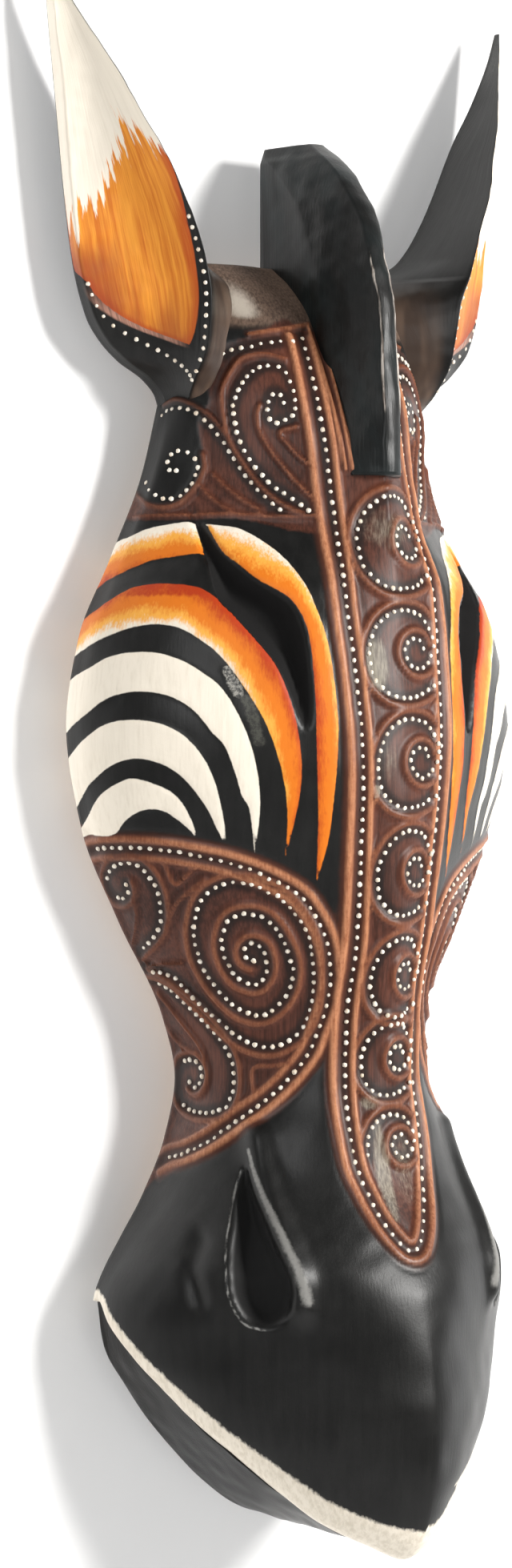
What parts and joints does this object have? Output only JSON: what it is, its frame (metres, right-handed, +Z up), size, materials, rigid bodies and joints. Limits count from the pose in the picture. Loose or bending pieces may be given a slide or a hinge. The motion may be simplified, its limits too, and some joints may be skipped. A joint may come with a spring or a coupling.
{
  "type": "carved animal wall mask",
  "caption": "Carved and painted wooden wall mask of a long striped animal head, with pricked ears, a standing mane crest, dotted spiral bands and a swinging ring hanger behind.",
  "frame": {"origin": "point on the wall plane level with the top inside of the hanger ring, where the nail carries the mask", "axes": "+X to the right of someone facing the mask, +Y into the wall, so the face looks along -Y, +Z up the wall"},
  "size_m": [0.184, 0.0826, 0.502],
  "materials": {
    "painted_face": "black and dark brown satin paint, rubbed through to orange-brown on the ridges",
    "painted_jaw": "brown-black satin paint",
    "painted_mane": "black satin paint with a rubbed front edge",
    "painted_ear": "white running into orange on the dished side, black behind",
    "dowel": "bare turned hardwood",
    "plated_steel": "zinc plated",
    "screw_steel": "zinc plated"
  },
  "bodies": {
    "mask": {"face": "painted_face", "lower_jaw": "painted_jaw", "mane": "painted_mane", "ear_left": "painted_ear", "ear_right": "painted_ear", "ear_dowels": "dowel", "mane_dowels": "dowel", "jaw_dowels": "dowel", "hanger_plate": "plated_steel", "hanger_screws": "screw_steel"},
    "ring": {"hanger_ring": "plated_steel"}
  },
  "joints": [
    {"name": "ring_swing", "type": "hinge", "parent": "mask", "child": "ring", "pos_m": [0, -0.0046, -0.016], "axis": [-1, 0, 0], "range_deg": [-6, 165]}
  ]
}
